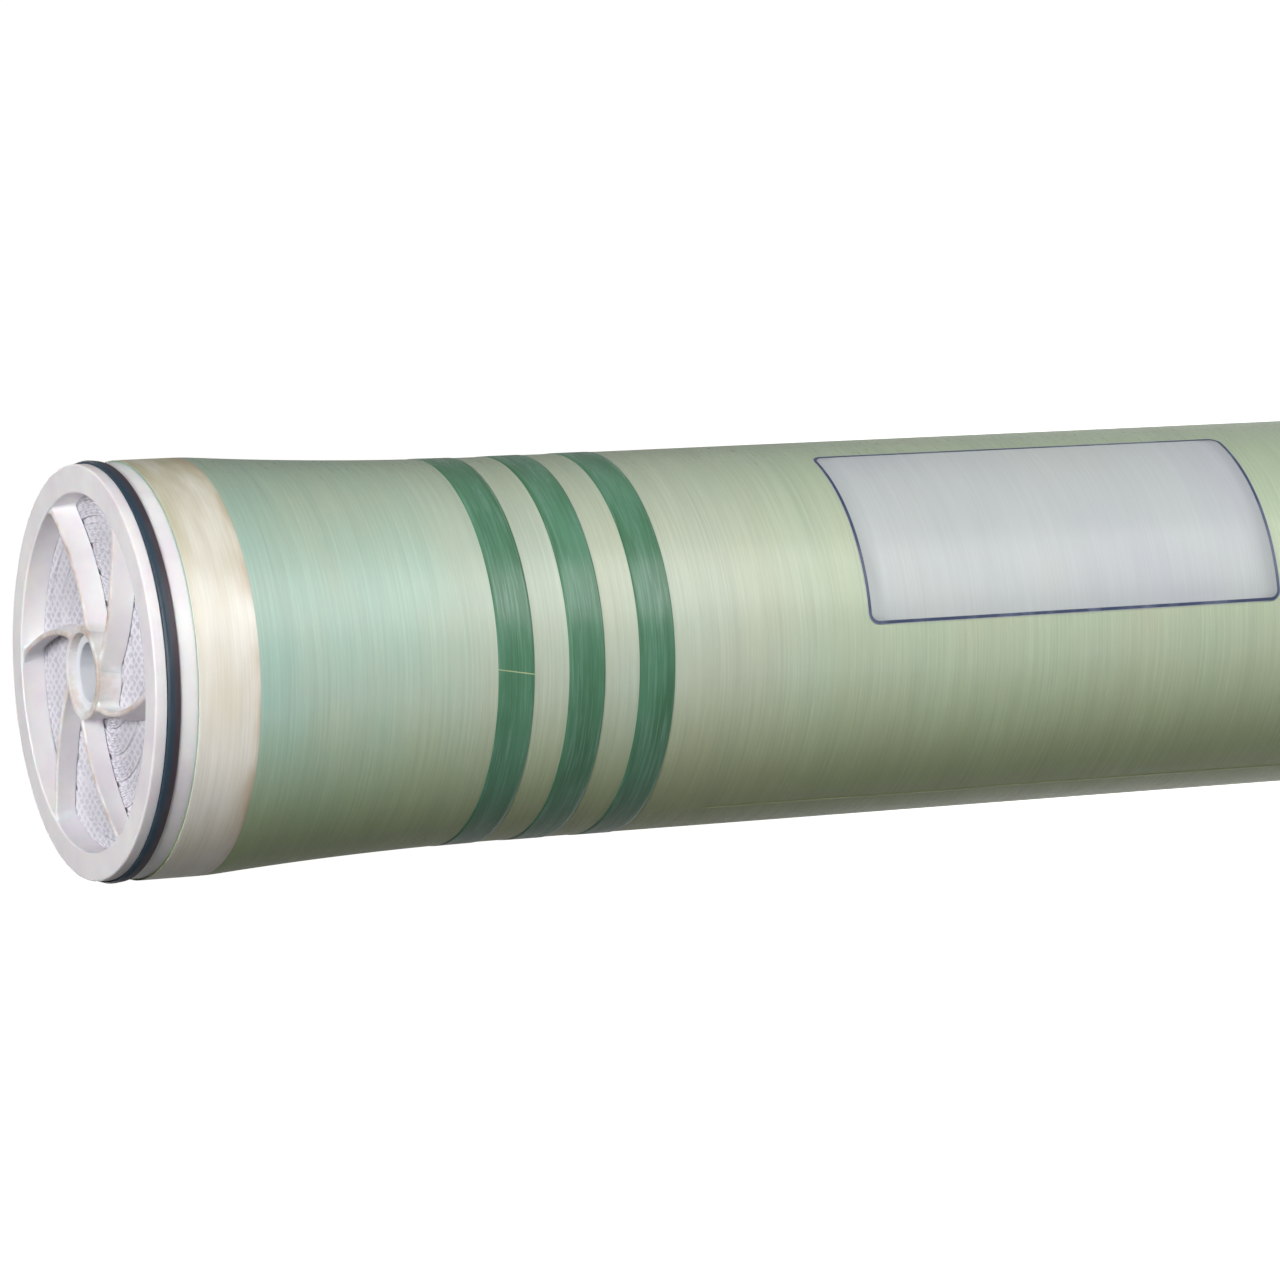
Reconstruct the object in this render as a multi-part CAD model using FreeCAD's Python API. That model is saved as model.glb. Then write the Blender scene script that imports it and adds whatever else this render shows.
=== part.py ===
"""Spiral-wound reverse-osmosis membrane element, 8 inch by 40 inch.

A scroll of membrane leaves is wound round a perforated core tube, taped, capped at both ends by
a moulded anti-telescoping device with swept vanes, and locked together by a wound glass-fibre shell.

Frame: millimetres, +Z along the core tube from the rear (concentrate) end to the feed end,
origin at the centre of the rear face, so that the element stands on its rear end.
"""
import FreeCAD
import Part
import math
import os

from FreeCAD import Vector

# ---------------------------------------------------------------- driving dimensions (mm, degrees)
LENGTH = 1016.0             # over both end caps, the 40 inch size
SHELL_BODY_DIA = 189.0      # over the wound shell between the flares
SHELL_WALL = 2.4            # glass-fibre wall along the body and over the caps' skirts

# core tube
TUBE_OD = 38.1
TUBE_PORT_DIA = 28.6        # machined seat for the connector's O-rings
TUBE_PORT_DEPTH = 70.0
TUBE_INNER_DIA = 27.6       # as extruded, between the two seats
TUBE_RECESS = 4.0           # tube end below the cap's face
TUBE_END_BEVEL = 0.8
PERFORATION_DIA = 3.2
PERFORATION_PITCH = 185.0
PERFORATION_TURN = 90.0     # round the tube from one perforation to the next
PERFORATION_MARGIN = 60.0   # plain tube between a seat's end and the first perforation

# scroll
SCROLL_TAPE_WALL = 0.4      # film tape round the finished scroll
LEAF_COUNT = 3
LEAF_SPACING = 13.0         # radial distance from one feed channel to the next
CHANNEL_WIDTH = 2.4
CHANNEL_DEPTH = 1.2         # how far the feed channels are cut into each end of the scroll
CHANNEL_MARGIN = 2.0        # closed rim left inside and outside the channels

# end cap (depths run inwards from the cap's flat face)
CAP_SETBACK = 1.0           # bare ring inside the shell's largest radius
CAP_RING_WALL = 13.7        # radial width of the ring round the six flow windows
CAP_DEPTH = 12.0            # face to scroll
CAP_LAND_END = 21.3         # where the bare ring ends and the shell begins
CAP_SKIRT_END = 52.0
CAP_SKIRT_WALL = 6.0
CAP_SKIRT_CLEARANCE = 0.2   # skirt over the taped scroll, on the radius
CAP_EDGE_BEVEL = 1.2
CAP_WINDOW_BEVEL = 1.0
HUB_DIA = 45.0
HUB_BEVEL = 0.6
HUB_CLEARANCE = 0.1         # hub bore over the core tube, on the radius

# swept vanes
VANE_COUNT = 6
VANE_START = -16.5          # where the first vane leaves the hub, from +X
VANE_SWEEP = 41.0           # turn of a vane from hub to ring
VANE_SLANT = -3.0           # turn of a vane from its front edge to its rear edge
VANE_FRONT_DEPTH = 0.8
VANE_REAR_GAP = 0.3         # rear edge to scroll
VANE_FRONT_WALL = 2.8
VANE_REAR_WALL = 3.6
VANE_ROOT_SINK = 1.5        # how far a vane's ends reach into the hub and the ring

# brine seal
SEAL_GROOVE_DEPTH = 5.9     # face to the groove's near wall
SEAL_GROOVE_WIDTH = 6.6
SEAL_GROOVE_HEIGHT = 5.0
SEAL_SIDE_CLEARANCE = 0.15
SEAL_LIP_PROUD = 1.6        # over the cap's ring, on the radius
SEAL_HEEL_PROUD = 1.0
SEAL_LIP_SET = 1.4          # lip's widest point behind its front edge
SEAL_BEVEL = 0.8
SEAL_NOTCH_DEPTH = 3.2      # the lip's spreading notch, open to the feed side
SEAL_NOTCH_WIDTH = 2.4

# shell flare, which starts where the skirt ends: two tangent arcs, as depths below the end face
FLARE_BREAK = 60.0          # the outer line turns from convex to concave
FLARE_END = 212.0

# tapes let into the shell over the skirts, colour bands and label laid on it
JOINT_TAPE_WALL = 0.4
BOND_LINE = 0.1             # adhesive under the bands and the label
BAND_WIDTH = 19.05
BAND_PITCH = 37.25
BAND_FIRST = 175.6          # feed face to the first band's near edge
BAND_COUNT = 3
BAND_WALL = 0.2
LABEL_START = 375.0         # feed face to the label's near edge
LABEL_LENGTH = 236.0
LABEL_TOP_ANGLE = -24.0     # from +X, positive towards +Y
LABEL_BOTTOM_ANGLE = -88.5
LABEL_CORNER = 6.0
LABEL_WALL = 0.2

# ---------------------------------------------------------------- sizes that follow from them
TUBE_R = TUBE_OD / 2
PORT_R = TUBE_PORT_DIA / 2
HUB_R = HUB_DIA / 2
HUB_BORE_R = TUBE_R + HUB_CLEARANCE
SHELL_BODY_R = SHELL_BODY_DIA / 2
SHELL_BORE_R = SHELL_BODY_R - SHELL_WALL
SKIRT_BORE_R = SHELL_BORE_R + CAP_SKIRT_CLEARANCE
SKIRT_R = SKIRT_BORE_R + CAP_SKIRT_WALL
SHELL_END_R = SKIRT_R + SHELL_WALL      # half of the 8 inch size
CAP_R = SHELL_END_R - CAP_SETBACK
WINDOW_R = CAP_R - CAP_RING_WALL
SCROLL_R = SHELL_BORE_R - SCROLL_TAPE_WALL
GROOVE_FLOOR_R = CAP_R - SEAL_GROOVE_HEIGHT
VANE_REAR_DEPTH = CAP_DEPTH - VANE_REAR_GAP

Z_AXIS = Vector(0, 0, 1)
ORIGIN = Vector(0, 0, 0)


# ---------------------------------------------------------------- helpers
def profile_face(points):
    """Closed face in the XZ plane from (radius, z) or (radius, z, corner bevel) points."""
    corners = [Vector(p[0], 0, p[1]) for p in points]
    outline = []
    for i, corner in enumerate(corners):
        bevel = points[i][2] if len(points[i]) > 2 else 0
        if bevel:
            before = (corners[i - 1] - corner).normalize()
            after = (corners[(i + 1) % len(corners)] - corner).normalize()
            outline.append(corner + before * bevel)
            outline.append(corner + after * bevel)
        else:
            outline.append(corner)
    return Part.Face(Part.makePolygon(outline + outline[:1]))


def turned(points):
    """Solid of revolution about Z of a closed profile."""
    return profile_face(points).revolve(ORIGIN, Z_AXIS, 360)


def ring(inner_r, outer_r, z_low, z_high):
    """Plain sleeve about Z."""
    height = z_high - z_low
    outer = Part.makeCylinder(outer_r, height, Vector(0, 0, z_low))
    return outer.cut(Part.makeCylinder(inner_r, height, Vector(0, 0, z_low)))


def polar(radius, degrees, z=0.0):
    angle = math.radians(degrees)
    return Vector(radius * math.cos(angle), radius * math.sin(angle), z)


def smooth_edge(points):
    curve = Part.BSplineCurve()
    curve.interpolate(points)
    return curve.toShape()


def closed_strip(near, far):
    """Closed outline between two smooth sides, with straight ends."""
    return Part.Wire([
        smooth_edge(near),
        Part.makeLine(near[-1], far[-1]),
        smooth_edge(far[::-1]),
        Part.makeLine(far[0], near[0]),
    ])


def at_feed_end(shape):
    """Places a shape drawn with the end face at z = 0 and depth along -Z."""
    placed = shape.copy()
    placed.translate(Vector(0, 0, LENGTH))
    return placed


def at_rear_end(shape):
    """The same shape turned end for end onto the rear face."""
    placed = shape.copy()
    placed.rotate(ORIGIN, Vector(1, 0, 0), 180)
    return placed


# ---------------------------------------------------------------- core tube and scroll
def make_core_tube():
    """Perforated tube, with a machined seat at each end for the permeate connectors."""
    low = TUBE_RECESS
    high = LENGTH - TUBE_RECESS
    bore_r = TUBE_INNER_DIA / 2
    step = PORT_R - bore_r
    tube = turned([
        (PORT_R, low, TUBE_END_BEVEL),
        (TUBE_R, low, TUBE_END_BEVEL),
        (TUBE_R, high, TUBE_END_BEVEL),
        (PORT_R, high, TUBE_END_BEVEL),
        (PORT_R, high - TUBE_PORT_DEPTH),
        (bore_r, high - TUBE_PORT_DEPTH - step),
        (bore_r, low + TUBE_PORT_DEPTH + step),
        (PORT_R, low + TUBE_PORT_DEPTH),
    ])
    span = high - low - 2 * (TUBE_PORT_DEPTH + PERFORATION_MARGIN)
    rows = int(span // PERFORATION_PITCH) + 1
    start = LENGTH / 2 - (rows - 1) * PERFORATION_PITCH / 2
    drills = []
    for row in range(rows):
        base = Vector(0, 0, start + row * PERFORATION_PITCH)
        drill = Part.makeCylinder(PERFORATION_DIA / 2, TUBE_OD, base, Vector(0, -1, 0))
        drill.rotate(ORIGIN, Z_AXIS, row * PERFORATION_TURN)
        drills.append(drill)
    return tube.cut(Part.makeCompound(drills))


def channel_side(start_angle, offset):
    """One wall line of a feed channel: tangent arcs whose radius grows by a leaf's spacing."""
    inner = TUBE_R + CHANNEL_MARGIN + CHANNEL_WIDTH / 2
    outer = SCROLL_R - CHANNEL_MARGIN - CHANNEL_WIDTH / 2
    arc_turn = 360.0 / LEAF_COUNT
    centre_r = LEAF_SPACING / (2 * math.sin(math.pi / LEAF_COUNT))
    arc_count = int((outer - inner - centre_r) / LEAF_SPACING)
    arcs = []
    for i in range(arc_count):
        angle = start_angle + i * arc_turn
        centre = polar(centre_r, angle + 90 + arc_turn / 2)
        radius = inner + centre_r + i * LEAF_SPACING + offset
        ends = [centre + polar(radius, angle + arc_turn * share) for share in (0, 0.5, 1)]
        arcs.append(Part.Arc(*ends).toShape())
    return arcs


def channel_outline(start_angle):
    """One feed channel's mouth: a strip that winds outwards at an even pitch."""
    near = channel_side(start_angle, -CHANNEL_WIDTH / 2)
    far = channel_side(start_angle, CHANNEL_WIDTH / 2)
    start_line = Part.makeLine(near[0].firstVertex().Point, far[0].firstVertex().Point)
    end_line = Part.makeLine(near[-1].lastVertex().Point, far[-1].lastVertex().Point)
    return Part.Wire(Part.__sortEdges__(near + far + [start_line, end_line]))


def make_membrane_scroll():
    """The wound leaves as one body, with the feed channels' spiral mouths open at both ends."""
    low = CAP_DEPTH
    high = LENGTH - CAP_DEPTH
    outlines = [Part.Wire([Part.makeCircle(SCROLL_R)]), Part.Wire([Part.makeCircle(TUBE_R)])]
    for leaf in range(LEAF_COUNT):
        outlines.append(channel_outline(360.0 * leaf / LEAF_COUNT))
    end_layer = Part.makeFace(outlines, "Part::FaceMakerBullseye").extrude(Z_AXIS * CHANNEL_DEPTH)
    rear_layer = end_layer.copy()
    rear_layer.translate(Z_AXIS * low)
    feed_layer = end_layer.copy()
    feed_layer.translate(Z_AXIS * (high - CHANNEL_DEPTH))
    middle = ring(TUBE_R, SCROLL_R, low + CHANNEL_DEPTH, high - CHANNEL_DEPTH)
    return middle.fuse([rear_layer, feed_layer]).removeSplitter()


def make_scroll_tape():
    """Film tape that holds the scroll closed before the shell is wound."""
    return ring(SCROLL_R, SHELL_BORE_R, CAP_DEPTH, LENGTH - CAP_DEPTH)


# ---------------------------------------------------------------- end caps and seal
def vane_outline(wall, depth, turn):
    """Closed strip that follows the vane's logarithmic spiral at one depth."""
    growth = math.log(WINDOW_R / HUB_R)
    lean = math.cos(math.atan(math.radians(VANE_SWEEP) / growth))
    r_start = HUB_R - VANE_ROOT_SINK
    r_end = WINDOW_R + VANE_ROOT_SINK
    steps = 4
    left, right = [], []
    for i in range(steps + 1):
        r = r_start * (r_end / r_start) ** (i / steps)
        centre = VANE_START + turn + VANE_SWEEP * math.log(r / HUB_R) / growth
        half_angle = math.degrees(wall / 2 / lean / r)
        left.append(polar(r, centre + half_angle, -depth))
        right.append(polar(r, centre - half_angle, -depth))
    return closed_strip(right, left)


def make_vane():
    """One swept vane, drafted and leaning round the axis from its front edge to its rear edge."""
    front = vane_outline(VANE_FRONT_WALL, VANE_FRONT_DEPTH, 0.0)
    rear = vane_outline(VANE_REAR_WALL, VANE_REAR_DEPTH, VANE_SLANT)
    return Part.makeLoft([front, rear], True, True)


def make_cap_ring():
    """Outer ring with the brine seal's groove, and the skirt that the shell is wound over."""
    groove_near = -SEAL_GROOVE_DEPTH
    groove_far = groove_near - SEAL_GROOVE_WIDTH
    return turned([
        (WINDOW_R, 0, CAP_WINDOW_BEVEL),
        (WINDOW_R, -CAP_DEPTH),
        (SKIRT_BORE_R, -CAP_DEPTH),
        (SKIRT_BORE_R, -CAP_SKIRT_END),
        (SKIRT_R, -CAP_SKIRT_END),
        (SKIRT_R, -CAP_LAND_END),
        (CAP_R, -CAP_LAND_END),
        (CAP_R, groove_far),
        (GROOVE_FLOOR_R, groove_far),
        (GROOVE_FLOOR_R, groove_near),
        (CAP_R, groove_near),
        (CAP_R, 0, CAP_EDGE_BEVEL),
    ])


def make_hub():
    """Sleeve that fits over the core tube's end."""
    return turned([
        (HUB_BORE_R, 0, HUB_BEVEL),
        (HUB_BORE_R, -CAP_DEPTH),
        (HUB_R, -CAP_DEPTH),
        (HUB_R, 0, HUB_BEVEL),
    ])


def make_end_cap():
    """Anti-telescoping device, moulded in one piece, with its face at z = 0."""
    vane = make_vane()
    vanes = []
    for i in range(VANE_COUNT):
        copy = vane.copy()
        copy.rotate(ORIGIN, Z_AXIS, 360.0 * i / VANE_COUNT)
        vanes.append(copy)
    return make_cap_ring().fuse([make_hub()] + vanes)


def make_brine_seal():
    """Lip seal in the feed cap's groove: a heel, and a lip spread by the feed pressure."""
    near = -SEAL_GROOVE_DEPTH - SEAL_SIDE_CLEARANCE
    far = -SEAL_GROOVE_DEPTH - SEAL_GROOVE_WIDTH + SEAL_SIDE_CLEARANCE
    lip_r = CAP_R + SEAL_LIP_PROUD
    heel_r = CAP_R + SEAL_HEEL_PROUD
    notch_r = (GROOVE_FLOOR_R + lip_r) / 2
    return turned([
        (GROOVE_FLOOR_R, near),
        (GROOVE_FLOOR_R, far),
        (heel_r, far),
        (lip_r, near - SEAL_LIP_SET),
        (lip_r - SEAL_BEVEL, near),
        (notch_r + SEAL_NOTCH_WIDTH / 2, near),
        (notch_r, near - SEAL_NOTCH_DEPTH),
        (notch_r - SEAL_NOTCH_WIDTH / 2, near),
    ])


# ---------------------------------------------------------------- shell, tapes, bands and label
def flare_edges(inset):
    """Outer line of the feed end's flare, from the skirt's end down to the plain body."""
    drop = SHELL_END_R - SHELL_BODY_R
    angle = 2 * math.atan(drop / (FLARE_END - CAP_SKIRT_END))
    convex_r = (FLARE_BREAK - CAP_SKIRT_END) / math.sin(angle)
    concave_r = (FLARE_END - FLARE_BREAK) / math.sin(angle)
    convex = []
    concave = []
    for share in (0, 0.5, 1):
        along = math.sin(angle * share)
        fall = 1 - math.cos(angle * share)
        convex.append(Vector(
            SHELL_END_R - inset - convex_r * fall, 0, LENGTH - CAP_SKIRT_END - convex_r * along
        ))
        concave.append(Vector(
            SHELL_BODY_R - inset + concave_r * fall, 0, LENGTH - FLARE_END + concave_r * along
        ))
    return [Part.Arc(*convex).toShape(), Part.Arc(*concave).toShape()]


def outer_profile(inset):
    """Half section inside the shell's outer line, set in by a depth, from land to land."""
    middle = Vector(0, 0, LENGTH / 2)
    feed_edge = Vector(SHELL_END_R - inset, 0, LENGTH - CAP_LAND_END)
    half = flare_edges(inset) + [
        Part.makeLine(Vector(0, 0, feed_edge.z), feed_edge),
        Part.makeLine(feed_edge, Vector(feed_edge.x, 0, LENGTH - CAP_SKIRT_END)),
    ]
    other_half = [edge.mirror(middle, Z_AXIS) for edge in half]
    body_r = SHELL_BODY_R - inset
    sides = [
        Part.makeLine(Vector(body_r, 0, LENGTH - FLARE_END), Vector(body_r, 0, FLARE_END)),
        Part.makeLine(Vector(0, 0, feed_edge.z), Vector(0, 0, LENGTH - feed_edge.z)),
    ]
    return Part.Face(Part.Wire(Part.__sortEdges__(half + other_half + sides)))


def inner_profile():
    """Half section of the space inside: the taped scroll, and the two skirts with bevelled ends."""
    bevel = SKIRT_R - SHELL_BORE_R
    return profile_face([
        (0, CAP_LAND_END),
        (SKIRT_R, CAP_LAND_END),
        (SKIRT_R, CAP_SKIRT_END),
        (SHELL_BORE_R, CAP_SKIRT_END + bevel),
        (SHELL_BORE_R, LENGTH - CAP_SKIRT_END - bevel),
        (SKIRT_R, LENGTH - CAP_SKIRT_END),
        (SKIRT_R, LENGTH - CAP_LAND_END),
        (0, LENGTH - CAP_LAND_END),
    ])


def layer_profile(depth_low, depth_high, inner_inset, outer_inset):
    """Half section of a layer that follows the shell's outer line, between two depths."""
    window = profile_face([
        (SHELL_BORE_R, LENGTH - depth_low),
        (2 * SHELL_END_R, LENGTH - depth_low),
        (2 * SHELL_END_R, LENGTH - depth_high),
        (SHELL_BORE_R, LENGTH - depth_high),
    ])
    return outer_profile(outer_inset).common(window).cut(outer_profile(inner_inset))


def revolved(profile):
    return profile.Faces[0].revolve(ORIGIN, Z_AXIS, 360)


def band_profiles():
    """Half sections of the coloured marker bands, which lie on the shell, by node name."""
    bands = {}
    insets = (-BOND_LINE, -BOND_LINE - BAND_WALL)
    for i in range(BAND_COUNT):
        near = BAND_FIRST + i * BAND_PITCH
        bands["marker_band_%d" % (i + 1)] = layer_profile(near, near + BAND_WIDTH, *insets)
    return bands


def joint_tape_profiles():
    """Half sections of the tapes let in over the two caps' skirts, by node name."""
    near = (CAP_LAND_END, CAP_SKIRT_END)
    far = (LENGTH - CAP_SKIRT_END, LENGTH - CAP_LAND_END)
    return {
        "feed_joint_tape": layer_profile(*near, JOINT_TAPE_WALL, 0.0),
        "rear_joint_tape": layer_profile(*far, JOINT_TAPE_WALL, 0.0),
    }


def make_label():
    """Label with rounded corners, laid on the plain body."""
    middle = (LABEL_TOP_ANGLE + LABEL_BOTTOM_ANGLE) / 2
    half_width = SHELL_BODY_R * math.sin(math.radians(LABEL_TOP_ANGLE - LABEL_BOTTOM_ANGLE) / 2)
    low_corner = Vector(0, -half_width, LENGTH - LABEL_START - LABEL_LENGTH)
    blank = Part.makeBox(SHELL_BODY_DIA, 2 * half_width, LABEL_LENGTH, low_corner)
    corners = [edge for edge in blank.Edges if abs(edge.tangentAt(edge.FirstParameter).x) > 0.99]
    blank = blank.makeFillet(LABEL_CORNER, corners)
    blank.rotate(ORIGIN, Z_AXIS, middle)
    inner_r = SHELL_BODY_R + BOND_LINE
    sleeve = ring(inner_r, inner_r + LABEL_WALL, low_corner.z, low_corner.z + LABEL_LENGTH)
    return sleeve.common(blank)


def make_shell(inlay_profiles):
    """Wound glass-fibre shell, with a seat for each tape let into its surface."""
    section = outer_profile(0.0).cut(inner_profile()).cut(Part.makeCompound(inlay_profiles))
    return revolved(section)


def main():
    cap = make_end_cap()
    parts = {
        "core_tube": make_core_tube(),
        "membrane_scroll": make_membrane_scroll(),
        "scroll_tape": make_scroll_tape(),
        "feed_end_cap": at_feed_end(cap),
        "rear_end_cap": at_rear_end(cap),
        "brine_seal": at_feed_end(make_brine_seal()),
    }
    joint_tapes = joint_tape_profiles()
    parts["fibreglass_shell"] = make_shell(list(joint_tapes.values()))
    parts["product_label"] = make_label()
    for name, profile in {**joint_tapes, **band_profiles()}.items():
        parts[name] = revolved(profile)
    os.makedirs("parts", exist_ok=True)
    for name, shape in parts.items():
        shape.exportStep("parts/%s.step" % name)


if __name__ == "__main__":
    main()
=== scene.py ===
"""Looks of the spiral-wound membrane element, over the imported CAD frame. Metres, +Z towards the feed end."""
import math
import random

import bmesh
import bpy
from mathutils import Matrix, Vector, noise


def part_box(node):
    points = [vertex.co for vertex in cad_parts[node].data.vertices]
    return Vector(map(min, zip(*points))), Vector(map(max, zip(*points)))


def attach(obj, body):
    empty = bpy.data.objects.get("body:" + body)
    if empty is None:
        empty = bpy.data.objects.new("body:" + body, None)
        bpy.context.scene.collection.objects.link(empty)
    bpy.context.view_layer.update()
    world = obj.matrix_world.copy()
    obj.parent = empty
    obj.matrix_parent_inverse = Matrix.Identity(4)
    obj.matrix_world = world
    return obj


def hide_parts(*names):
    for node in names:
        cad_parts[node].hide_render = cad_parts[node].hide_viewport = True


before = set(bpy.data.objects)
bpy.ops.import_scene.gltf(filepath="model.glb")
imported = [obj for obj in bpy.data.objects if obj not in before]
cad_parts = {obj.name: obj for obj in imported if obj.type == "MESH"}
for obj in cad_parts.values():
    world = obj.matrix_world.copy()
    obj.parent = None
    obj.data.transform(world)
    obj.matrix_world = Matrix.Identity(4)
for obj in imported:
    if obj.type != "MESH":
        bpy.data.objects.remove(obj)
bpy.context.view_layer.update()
MM = 0.001

# ---------------------------------------------------------------- sizes (metres, degrees)
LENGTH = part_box("feed_end_cap")[1][2]
CAP_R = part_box("feed_end_cap")[1][0]
SEAL_LOW, SEAL_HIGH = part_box("brine_seal")
SHELL_LOW, SHELL_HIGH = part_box("fibreglass_shell")
SCROLL_LOW, SCROLL_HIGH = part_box("membrane_scroll")
TUBE_LOW, TUBE_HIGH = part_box("core_tube")
LABEL_LOW, LABEL_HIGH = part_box("product_label")

SHELL_END_R = SHELL_HIGH[0]
SHELL_BODY_R = 94.5 * MM
SHELL_BORE_R = 92.1 * MM
SKIRT_END = 52.0 * MM           # depths run inwards from an end face
FLARE_BREAK = 60.0 * MM
FLARE_END = 212.0 * MM
SKIN = 0.25 * MM                # how far a band or the label stands over the shell

CAP_DEPTH = LENGTH - SCROLL_HIGH[2]
WINDOW_R = CAP_R - 13.7 * MM
SKIRT_R = 98.3 * MM
SKIRT_BORE_R = 92.3 * MM
GROOVE_NEAR = 5.9 * MM
GROOVE_FAR = 12.5 * MM
GROOVE_FLOOR_R = CAP_R - 5.0 * MM
HUB_R = 22.5 * MM
TUBE_R = TUBE_HIGH[0]
HUB_BORE_R = TUBE_R + 0.1 * MM
PORT_R = 14.3 * MM
PORT_DEPTH = 70.0 * MM
TUBE_INNER_R = 13.8 * MM

VANE_COUNT = 6
VANE_START = -16.5              # first vane's root at the hub, from +X
VANE_SWEEP = 41.0
VANE_SLANT = -3.0
VANE_FRONT_DEPTH = 0.8 * MM
VANE_REAR_DEPTH = CAP_DEPTH - 0.3 * MM
VANE_FRONT_WALL = 2.8 * MM
VANE_REAR_WALL = 3.6 * MM
VANE_FILLET = 3.2 * MM          # blend into the hub and the ring
VANE_ROOT_SINK = 1.5 * MM

LEAF_COUNT = 3
LEAF_SPACING = 13.0 * MM
CHANNEL_WIDTH = 2.4 * MM
CHANNEL_DEPTH = 1.2 * MM
SHEETS_PER_LEAF = 8

LABEL_TOP_ANGLE = -24.0
LABEL_BOTTOM_ANGLE = -88.5
LABEL_CORNER = 6.0 * MM
LABEL_BORDER = 1.6 * MM
TAPE_END_ANGLE = -94.8
SEAM_ANGLE = -152.4
SEAM_TOP = 713.0 * MM

FLOOR_GLOW_START = 0.12          # distance from the axis; the painted shadow round the foot fades out from here to FLOOR_GLOW_FULL
FLOOR_GLOW_FULL = 0.45
FLOOR_LIGHT = 0.20               # share of the glow that lights the element
AIR_LIGHT = 0.03

ROUND_SEGMENTS = 256


# ---------------------------------------------------------------- mesh helpers
def new_object(name, mesh, *materials):
    obj = bpy.data.objects.new(name, mesh)
    bpy.context.scene.collection.objects.link(obj)
    for material in materials:
        mesh.materials.append(material)
    return obj


def finish_mesh(name, bm, *materials, smooth=True):
    mesh = bpy.data.meshes.new(name)
    bmesh.ops.recalc_face_normals(bm, faces=bm.faces)
    bm.to_mesh(mesh)
    bm.free()
    for polygon in mesh.polygons:
        polygon.use_smooth = smooth
    return new_object(name, mesh, *materials)


def rounded_outline(points, steps=4, support=0.12 * MM):
    """Closed (radius, z) outline from (radius, z) or (radius, z, corner radius) points.

    Each corner becomes an arc, and a support point on either side keeps the flats' shading flat."""
    corners = [Vector((p[0], p[1])) for p in points]
    outline = []
    for i, corner in enumerate(corners):
        size = points[i][2] if len(points[i]) > 2 else 0.0
        before = (corners[i - 1] - corner)
        after = (corners[(i + 1) % len(corners)] - corner)
        size = max(min(size, before.length / 2.2, after.length / 2.2), 0.02 * MM)
        before.normalize()
        after.normalize()
        reach = min(size + support, 4 * size + 0.02 * MM)
        outline.append(corner + before * reach)
        for step in range(steps + 1):
            share = step / steps
            start = corner + before * size
            end = corner + after * size
            outline.append(start.lerp(corner, share).lerp(corner.lerp(end, share), share))
        outline.append(corner + after * reach)
    return outline


def lathe(name, outline, *materials, segments=ROUND_SEGMENTS, wobble=None):
    """Closed solid of revolution about Z. wobble(angle, radius, z) may move a point along the radius."""
    bm = bmesh.new()
    rings = []
    for step in range(segments):
        angle = 2 * math.pi * step / segments
        ring = []
        for r, z in outline:
            radius = r + (wobble(angle, r, z) if wobble else 0.0)
            ring.append(bm.verts.new((radius * math.cos(angle), radius * math.sin(angle), z)))
        rings.append(ring)
    count = len(outline)
    for step in range(segments):
        here = rings[step]
        there = rings[(step + 1) % segments]
        for i in range(count):
            j = (i + 1) % count
            bm.faces.new((here[i], there[i], there[j], here[j]))
    return finish_mesh(name, bm, *materials)


def polar(radius, degrees, z):
    angle = math.radians(degrees)
    return Vector((radius * math.cos(angle), radius * math.sin(angle), z))


def loft(bm, sections):
    """Joins closed sections of equal count, and closes both ends."""
    rings = [[bm.verts.new(point) for point in section] for section in sections]
    for here, there in zip(rings, rings[1:]):
        for i in range(len(here)):
            j = (i + 1) % len(here)
            bm.faces.new((here[i], here[j], there[j], there[i]))
    bm.faces.new(rings[0][::-1])
    bm.faces.new(rings[-1])


def mirrored_end(name, obj):
    """The same piece turned end for end onto the rear face, as the CAD has it."""
    mesh = obj.data.copy()
    mesh.transform(Matrix.Translation((0, 0, LENGTH)) @ Matrix.Rotation(math.pi, 4, "X"))
    return new_object(name, mesh)


def stand_for(piece, node):
    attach(piece, "root")
    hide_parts(node)


def shell_radius(z):
    """Outer radius of the wound shell: plain over the skirts, two tangent arcs, plain body."""
    depth = min(z, LENGTH - z)
    drop = SHELL_END_R - SHELL_BODY_R
    angle = 2 * math.atan(drop / (FLARE_END - SKIRT_END))
    convex_r = (FLARE_BREAK - SKIRT_END) / math.sin(angle)
    concave_r = (FLARE_END - FLARE_BREAK) / math.sin(angle)
    if depth <= SKIRT_END:
        return SHELL_END_R
    if depth <= FLARE_BREAK:
        return SHELL_END_R - convex_r + math.sqrt(convex_r ** 2 - (depth - SKIRT_END) ** 2)
    if depth < FLARE_END:
        return SHELL_BODY_R + concave_r - math.sqrt(concave_r ** 2 - (FLARE_END - depth) ** 2)
    return SHELL_BODY_R


# ---------------------------------------------------------------- material helpers
def srgb(red, green, blue):
    """Linear colour from 0 to 255 display values."""
    def linear(value):
        value /= 255
        return value / 12.92 if value <= 0.04045 else ((value + 0.055) / 1.055) ** 2.4
    return (linear(red), linear(green), linear(blue), 1.0)


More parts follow.
